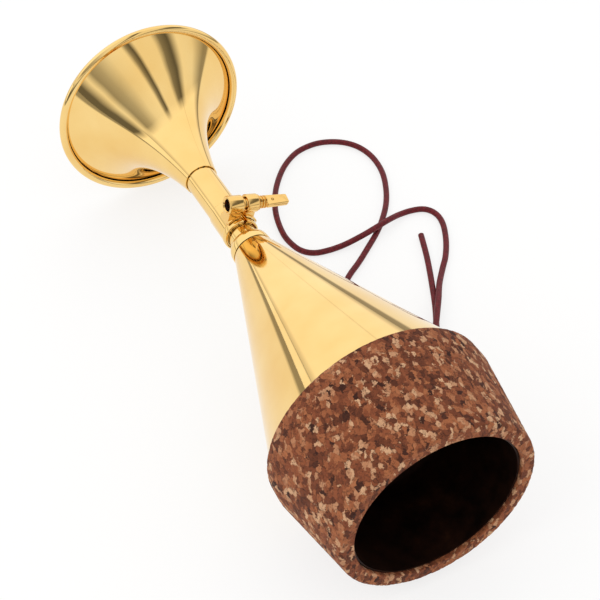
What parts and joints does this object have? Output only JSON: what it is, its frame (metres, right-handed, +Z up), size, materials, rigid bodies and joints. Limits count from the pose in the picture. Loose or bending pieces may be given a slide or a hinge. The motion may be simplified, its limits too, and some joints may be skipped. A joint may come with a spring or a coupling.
{
  "type": "french horn stop mute",
  "caption": "Brass stop mute for a horn: flared bell on a clamped sliding tube, cone body with a tapered cork sleeve, and a leather lace.",
  "frame": {"origin": "on the table under the middle of the mute's length, with the mute lying on its bell rim and its cork", "axes": "+X along the mute towards the cork, +Y to the side where the lace lies, +Z up"},
  "size_m": [0.2108, 0.1252, 0.0752],
  "materials": {
    "lacquered_brass": "polished and clear lacquered",
    "clamp_brass": "cast, polished",
    "screw_brass": "turned",
    "inner_brass": "dull, unlacquered",
    "cork": "agglomerated cork, matte",
    "lace_leather": "dyed round leather lace"
  },
  "bodies": {
    "cone": {"cone_shell": "lacquered_brass", "base_shell": "inner_brass", "cork_sleeve": "cork", "neck_tube": "lacquered_brass", "neck_ferrule": "lacquered_brass", "strap_pad": "lacquered_brass", "strap_eye": "lacquered_brass", "lace_knot": "lace_leather", "lace_loop": "lace_leather", "lace_tail": "lace_leather"},
    "bell": {"bell_flare": "lacquered_brass", "rim_wire": "inner_brass", "slide_tube": "lacquered_brass", "split_collar": "lacquered_brass", "threaded_lug": "clamp_brass", "plain_lug": "clamp_brass"},
    "thumb_screw": {"screw_washer": "screw_brass", "thumb_screw": "screw_brass", "thumb_paddle": "clamp_brass", "paddle_pin": "screw_brass"}
  },
  "joints": [
    {"name": "bell_slide", "type": "slide", "parent": "cone", "child": "bell", "axis": [0.9999, 0, 0.0113], "range_m": [-0.018, 0.004]},
    {"name": "thumb_screw_turn", "type": "hinge", "parent": "bell", "child": "thumb_screw", "pos_m": [-0.03008, 0.00278, 0.04615], "axis": [-0.0031, -0.9613, 0.2756], "range_deg": [-180, 45]}
  ]
}
